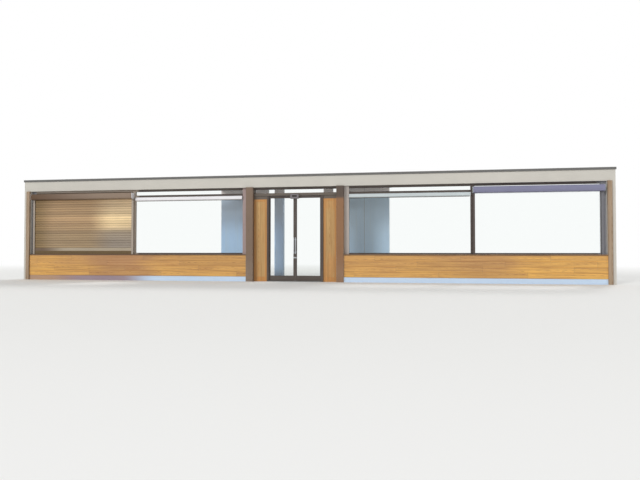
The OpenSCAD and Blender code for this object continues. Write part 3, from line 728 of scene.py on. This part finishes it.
# covers over the joints of the skirting
cover = {"width": 0.05, "proud": 0.0012, "short": 0.0005, "nose": 0.009, "places": (3.0, 6.0)}
skirtFront = limits("skirtings", 1)[0]
skirtTop = limits("skirtings", 2)[1]
coverFront, coverTop = skirtFront - cover["proud"], skirtTop - cover["short"]
coverOutline = [[skirtFront / 2, cover["short"]], [coverFront, cover["short"]],
                [coverFront, skirtTop - cover["nose"]],
                [skirtFront + cover["nose"] - cover["proud"], coverTop], [skirtFront / 2, coverTop]]
coverStarts = mirrored([[nearX + x, 0, 0] for x in cover["places"]])
place("skirting_covers", bars(
    coverOutline, coverStarts, coverStarts + [cover["width"], 0, 0], alongY, alongZ), "skirting_metal")
print("window seals and fixings")


# straps over the joints of the wall cap and of the canopy's edge
strap = {"width": 0.06, "thickness": 0.0012, "capPlaces": (1.5, 4.5, 7.5), "edgePlaces": (0.95, 2.4)}
thick = strap["thickness"]
half = np.array([strap["width"] / 2, 0, 0])
capIn, capOut = limits("wall_cap", 1)
capLow, capHigh = limits("wall_cap", 2)
capFall = marks("wall_cap", 2)[-2]
capOver = [[capIn - thick, capLow], [capIn - thick, capHigh + thick], [capOut + thick, capFall + thick],
           [capOut + thick, capLow], [capOut, capLow], [capOut, capFall], [capIn, capHigh], [capIn, capLow]]
capPlaces = mirrored([[x, 0, 0] for x in strap["capPlaces"]])
flangeIn = marks("canopy_edge", 1)[1]
edgeOut = limits("canopy_edge", 1)[1]
edgeLow, edgeHigh = limits("canopy_edge", 2)
edgeOver = [[flangeIn, edgeHigh + thick], [edgeOut + thick, edgeHigh + thick], [edgeOut + thick, edgeLow],
            [edgeOut, edgeLow], [edgeOut, edgeHigh], [flangeIn, edgeHigh]]
edgePlaces = mirrored([[x, 0, 0] for x in strap["edgePlaces"]])
place("cap_straps", together(
    bars(capOver, capPlaces - half, capPlaces + half, alongY, alongZ),
    bars(edgeOver, edgePlaces - half, edgePlaces + half, alongY, alongZ)), "roof_metal")
print("straps on the cap and the canopy")


# end caps round the outline of the shutter boxes, and covers on the boxes' fronts
boxCap = {"thickness": 0.003, "lip": 0.002, "corner": 0.040, "topCut": 0.020}
boxLow, boxHigh = limits("shutter_boxes", 2)
boxFront, boxBack = limits("shutter_boxes", 1)
boxX0, boxX1 = marks("shutter_boxes", 0)[-2:]
capLip = boxCap["lip"]
turn = np.linspace(np.pi, 1.5 * np.pi, 9)
capCorner = (np.array([boxFront + boxCap["corner"], boxLow + boxCap["corner"]])
             + (boxCap["corner"] + capLip) * np.stack([np.cos(turn), np.sin(turn)], -1))
capOutline = np.concatenate([
    [[boxBack, boxLow - capLip], [boxBack, boxHigh + capLip],
     [boxFront + boxCap["topCut"], boxHigh + capLip], [boxFront - capLip, boxHigh - boxCap["topCut"]]],
    capCorner])
capStarts = mirrored([[boxX0 - boxCap["thickness"], 0, 0], [boxX1, 0, 0]])
place("shutter_box_caps", bars(
    capOutline, capStarts, capStarts + outwards(capStarts, boxCap["thickness"]), alongY, alongZ),
    "cassette_metal", slotName="box_metal")

boxCover = {"height": 0.105, "thickness": 0.0025, "corner": 0.001, "inset": 0.02}
boxCoverZ = (boxLow + boxCap["corner"] + boxHigh - boxCap["topCut"]) / 2
place("shutter_box_covers", bars(
    roundedOutline(2 * boxCover["thickness"], boxCover["height"], boxCover["corner"], steps=2),
    mirrored([[boxX0 + boxCover["inset"], boxFront, boxCoverZ]]),
    mirrored([[boxX1 - boxCover["inset"], boxFront, boxCoverZ]]), alongY, alongZ), "box_metal")

# brushes in the slots of the shutter guides, and the guides' screws
brush = {"depth": 0.007, "width": 0.010, "corner": 0.002}
guideX = marks("shutter_guides", 0)[-6:]
guideLow, guideHigh = limits("shutter_guides", 2)
slotIn, slotOut = marks("shutter_guides", 1)[1:3]
brushPlaces = mirrored([[x, y, guideLow]
                        for x in (guideX[2] - brush["width"] / 2, guideX[3] + brush["width"] / 2)
                        for y in (slotIn + brush["depth"] / 2, slotOut - brush["depth"] / 2)])
place("guide_brushes", bars(
    roundedOutline(brush["width"], brush["depth"], brush["corner"], steps=2),
    brushPlaces, brushPlaces + [0, 0, guideHigh - guideLow], alongX, alongY), "foot_rubber")

guideScrew = {"first": 0.1, "step": 0.4}
guideFront = limits("shutter_guides", 1)[0]
guideScrews = mirrored([[x, guideFront, z]
                        for x in ((guideX[0] + guideX[2]) / 2, (guideX[3] + guideX[5]) / 2)
                        for z in np.arange(guideLow + guideScrew["first"], guideHigh, guideScrew["step"])])
place("guide_screws", turned(screwHead, guideScrews, -alongY, count=10), "hinge_steel")

# bars, edges of cloth and end caps of the blinds
blind = {"barHeight": 0.016, "barDepth": 0.014, "barCorner": 0.005, "barInset": 0.03, "drop": 0.004,
         "cloth": 0.0016, "clothCorner": 0.0005, "clothInset": 0.04, "clothHidden": 0.006,
         "capThickness": 0.004, "capOver": 0.004, "capCorner": 0.018}
blindLow, blindHigh = limits("blind_cassettes", 2)
blindIn, blindOut = limits("blind_cassettes", 1)
blindX0, blindX1 = marks("blind_cassettes", 0)[-2:]
blindY, blindZ = (blindIn + blindOut) / 2, (blindLow + blindHigh) / 2
barZ = blindLow - blind["drop"] - blind["barHeight"] / 2
place("blind_bars", bars(
    roundedOutline(blind["barDepth"], blind["barHeight"], blind["barCorner"]),
    mirrored([[blindX0 + blind["barInset"], blindY, barZ]]),
    mirrored([[blindX1 - blind["barInset"], blindY, barZ]]), alongY, alongZ), "frame_metal")
place("blind_cloth_edges", bars(
    roundedOutline(blind["cloth"], blind["drop"] + blind["clothHidden"], blind["clothCorner"], steps=1),
    mirrored([[blindX0 + blind["clothInset"], blindY, blindLow - blind["drop"] / 2]]),
    mirrored([[blindX1 - blind["clothInset"], blindY, blindLow - blind["drop"] / 2]]), alongY, alongZ),
    "cassette_metal")
endPlaces = mirrored([[blindX0, blindY, blindZ], [blindX1 - blind["capThickness"], blindY, blindZ]])
place("blind_end_caps", bars(
    roundedOutline(blindOut - blindIn, blindHigh - blindLow + blind["capOver"], blind["capCorner"]),
    endPlaces, endPlaces + outwards(endPlaces, blind["capThickness"]), alongY, alongZ), "sensor_plastic")
print("shutters and blinds")


# measures of the door leaves, and how deep the panes sit in their grooves
leafLow = limits("door_frame_right", 2)[0]
leafIn, leafOut = limits("door_frame_right", 1)
leafX0, leafX1 = limits("door_frame_right", 0)
leafMid = (leafIn + leafOut) / 2
seat = {"side": 0.012, "foot": 0.0137}
paneX0, paneX1 = limits("door_glass_right", 0)
paneZ0, paneZ1 = limits("door_glass_right", 2)
paneIn, paneOut = limits("door_glass_right", 1)
paneX0, paneX1 = paneX0 + seat["side"], paneX1 - seat["side"]
paneZ0, paneZ1 = paneZ0 + seat["foot"], paneZ1 - seat["side"]
handleX = sum(limits("door_handles_right", 0)) / 2
handleLow, handleHigh = limits("door_handles_right", 2)

# locks and feet of the pull bars share the outline of a rose, radii against depths
rose = np.array([[1.0, 0.0], [1.0, 0.55], [0.9, 0.9], [0.72, 1.0], [0.40, 1.0]])
lock = {"height": 0.72, "roseRadius": 0.026, "roseDepth": 0.008, "plugRadius": 0.009, "plugDepth": 0.014}
roseOutline = rose * [lock["roseRadius"], lock["roseDepth"]]
plugOutline = np.array([[1.0, 0.0], [1.0, 0.9], [0.85, 1.0], [0.35, 1.0]]) * [
    lock["plugRadius"], lock["plugDepth"]]
foot = {"radius": 0.020, "depth": 0.006, "inset": 0.060}
footOutline = rose * [foot["radius"], foot["depth"]]
footHeights = (handleLow + foot["inset"], handleHigh - foot["inset"])
pile = {"width": 0.012, "height": 0.004, "corner": 0.001, "inset": 0.03}

# three screws in each flap of the three hinges of a leaf
hingeScrew = {"radius": 0.0042, "height": 0.0010, "spread": 0.040, "half": 0.060, "middle": 0.014,
              "flap": 0.003}
screwDome = np.array([[1, 0], [0.9, 0.7], [0.55, 1], [0.3, 0.6]]) * [
    hingeScrew["radius"], hingeScrew["height"]]
hingeLow, hingeHigh = limits("door_hinges_right", 2)
hingeHeights = [hingeLow + hingeScrew["half"], (hingeLow + hingeHigh) / 2, hingeHigh - hingeScrew["half"]]
screwHeights = [z + way * hingeScrew["spread"] for z in hingeHeights for way in (-1, 0, 1)]
flapFace = limits("door_hinges_right", 1)[0] + hingeScrew["flap"]
leafFlap = limits("door_hinges_right", 0)[0] + hingeScrew["middle"]
jambFlap = limits("jamb_hinges", 0)[1] - hingeScrew["middle"]
leafScrews = np.array([[leafFlap, flapFace, z] for z in screwHeights])
place("jamb_hinge_screws", turned(
    screwDome, mirrored([[jambFlap, flapFace, z] for z in screwHeights]), alongY, count=12),
    "handle_steel", slotName="hinge_steel")

# seals, locks, feet, hinge screws and brushes of both leaves
for side, word in ((-1, "left"), (1, "right")):
    body = f"{word}_leaf"
    rectangle = [sorted((side * paneX0, side * paneX1)) + [paneZ0, paneZ1]]
    place(f"door_seals_{word}", together(
        frames(sealOutline * [1, -1], rectangle, paneIn), frames(sealOutline, rectangle, paneOut)),
        "foot_rubber", body)
    lockIn, lockOut = ([[side * handleX, y, lock["height"]]] for y in (leafIn, leafOut))
    place(f"door_lock_{word}", together(
        turned(roseOutline, lockIn, -alongY, count=28), turned(plugOutline, lockIn, -alongY, count=20),
        turned(roseOutline, lockOut, alongY, count=28), turned(plugOutline, lockOut, alongY, count=20)),
        "handle_steel", body)
    feetIn, feetOut = ([[side * handleX, y, z] for z in footHeights] for y in (leafIn, leafOut))
    place(f"handle_feet_{word}", together(
        turned(footOutline, feetIn, -alongY, count=24), turned(footOutline, feetOut, alongY, count=24)),
        "handle_steel", body)
    place(f"hinge_screws_{word}", turned(screwDome, leafScrews * [side, 1, 1], alongY, count=12),
          "handle_steel", body, "hinge_steel")
    brushEnds = [[[side * x, leafMid, leafLow - pile["height"] / 2]]
                 for x in (leafX0 + pile["inset"], leafX1 - pile["inset"])]
    place(f"door_brush_{word}", bars(
        roundedOutline(pile["width"], pile["height"], pile["corner"], steps=2), *brushEnds, alongY, alongZ),
        "foot_rubber", body)
print("doors")


# lens and end caps of the door sensor
sensor = {"lensWidth": 0.150, "lensHeight": 0.050, "lensDepth": 0.005, "lensCorner": 0.020,
          "cap": 0.003, "proud": 0.001, "topCut": 0.010, "lowCut": 0.020}
sensorIn, sensorOut = limits("door_sensor", 1)
sensorLow, sensorHigh = limits("door_sensor", 2)
sensorHalf = limits("door_sensor", 0)[1]
lensPlace = np.array([[0, sensorIn, (sensorLow + sensor["lowCut"] + sensorHigh) / 2]])
place("sensor_lens", bars(
    roundedOutline(sensor["lensWidth"], sensor["lensHeight"], sensor["lensCorner"], steps=5),
    lensPlace, lensPlace - [0, sensor["lensDepth"], 0], alongX, alongZ),
    "foot_rubber", slotName="sensor_plastic")
capY, capZ0, capZ1 = sensorIn - sensor["proud"], sensorLow - sensor["proud"], sensorHigh + sensor["proud"]
sensorCap = [[sensorOut, capZ0], [sensorOut, capZ1], [sensorIn + sensor["topCut"], capZ1],
             [capY, sensorHigh - sensor["topCut"]], [capY, sensorLow + sensor["lowCut"]],
             [sensorIn + sensor["lowCut"], capZ0]]
place("sensor_caps", bars(
    sensorCap, [[-sensorHalf - sensor["cap"], 0, 0], [sensorHalf, 0, 0]],
    [[-sensorHalf, 0, 0], [sensorHalf + sensor["cap"], 0, 0]], alongY, alongZ),
    "head_metal", slotName="sensor_plastic")

# ribs on the threshold before and behind the doors
rib = {"width": 0.012, "height": 0.0016, "corner": 0.0012, "step": 0.020, "end": 0.01,
       "fromInside": 0.022, "toDoors": 0.06, "fromDoors": 0.03, "toOutside": 0.018}
stepIn, stepOut = limits("threshold", 1)
stepTop = limits("threshold", 2)[1]
stepHalf = limits("threshold", 0)[1]
ribRows = np.concatenate([
    np.arange(stepIn + rib["fromInside"], leafIn - rib["toDoors"], rib["step"]),
    np.arange(leafOut + rib["fromDoors"], stepOut - rib["toOutside"], rib["step"])])
ribStarts = np.array([[-stepHalf + rib["end"], y, stepTop] for y in ribRows])
place("threshold_ribs", bars(
    roundedOutline(rib["width"], 2 * rib["height"], rib["corner"], steps=2),
    ribStarts, ribStarts * [-1, 1, 1], alongY, alongZ), "foot_rubber")

# quarter-round mouldings in the corners of the side panels' sunk fields
moulding = {"width": 0.014, "rise": 0.0076, "sunk": 0.008}
panelIn, panelOut = limits("side_panels", 1)
arc = np.linspace(0, np.pi / 2, 6)
mouldOutline = np.concatenate([[[0, 0]], np.stack([np.cos(arc) * moulding["width"],
                                                   np.sin(arc) * moulding["rise"]], -1)])
field = mirroredFrames([[panelX + sideBorder, postX - sideBorder,
                         panelLow + 2 * sideBorder, panelHigh - sideBorder]])
place("panel_mouldings", together(
    frames(mouldOutline * [1, -1], field, panelIn + moulding["sunk"]),
    frames(mouldOutline, field, panelOut - moulding["sunk"])), "side_wood")
print("sensor, threshold and side panels")


# floor that fades to the white background all round
stage = {"size": 120.0, "under": 0.001, "colour": "e9e9e7", "reach": (15.0, 9.0), "fade": (0.9, 2.6)}
floorMesh = bpy.data.meshes.new("floor")
corner = np.array([[-1, -1, 0], [1, -1, 0], [1, 1, 0], [-1, 1, 0]]) * stage["size"] - [0, 0, stage["under"]]
floorMesh.from_pydata(corner.tolist(), [], [[0, 1, 2, 3]])
floor = bpy.data.objects.new("floor", floorMesh)
bpy.context.scene.collection.objects.link(floor)
floorPaint = Paint("floor", Roughness=0.9)
floorMesh.materials.append(floorPaint.finish(tone(stage["colour"])))
away = ((floorPaint.x / stage["reach"][0]) ** 2 + (floorPaint.y / stage["reach"][1]) ** 2) ** 0.5
share = away.steps(*stage["fade"]) * floorPaint.seen()
plain = Field(floorPaint, floorPaint.bsdf.outputs[0])
white = floorPaint.node("Emission", {}, {"Color": (1, 1, 1, 1), "Strength": 1.0})
both = floorPaint.node("MixShader", {}, {0: share, 1: plain, 2: white})
floorPaint.feed(floorPaint.tree.nodes["Material Output"].inputs["Surface"], both)

# even sky, shown white, and two soft lamps that the panes let through: name, strength,
# azimuth and height in degrees, and breadth in degrees
light = {"sky": 0.60, "shown": 1.0,
         "lamps": [("room_lamp", 1.35, (-32, 24), 18), ("street_lamp", 1.1, (150, 40), 16)]}
world = bpy.data.worlds.new("studio")
bpy.context.scene.world = world
world.use_nodes = True
sky = Sheet(world.node_tree)
background = sky.tree.nodes["Background"]
background.inputs["Color"].default_value = (1, 1, 1, 1)
sky.feed(background.inputs["Strength"], sky.seen() * (light["shown"] - light["sky"]) + light["sky"])
for name in ("window_glass_left", "window_glass_right", "upper_glass", "door_glass_left", "door_glass_right"):
    nodes[name].visible_shadow = False

for name, strength, angles, softness in light["lamps"]:
    lamp = bpy.data.objects.new(name, bpy.data.lights.new(name, "SUN"))
    lamp.data.energy = strength
    lamp.data.angle = math.radians(softness)
    lamp.visible_glossy = lamp.visible_transmission = False     # no lamp disc mirrored in the panes
    azimuth, height = (math.radians(angle) for angle in angles)
    toward = Vector((math.sin(azimuth) * math.cos(height), -math.cos(azimuth) * math.cos(height),
                     math.sin(height)))
    lamp.rotation_euler = (-toward).to_track_quat("-Z", "Y").to_euler()
    bpy.context.scene.collection.objects.link(lamp)

shot = {"stand": (3.19, -15.5, 0.92), "lookAt": (0.78, 0.0, 1.25), "lens": 29.6, "sensor": 36.0}
camera = bpy.data.objects.new("camera", bpy.data.cameras.new("camera"))
camera.data.lens = shot["lens"]
camera.data.sensor_width = shot["sensor"]
camera.location = shot["stand"]
aim = Vector(shot["lookAt"]) - Vector(shot["stand"])
camera.rotation_euler = aim.to_track_quat("-Z", "Y").to_euler()
bpy.context.scene.collection.objects.link(camera)
bpy.context.scene.camera = camera
bpy.context.scene.view_settings.view_transform = "Standard"
print("stage, light and camera")
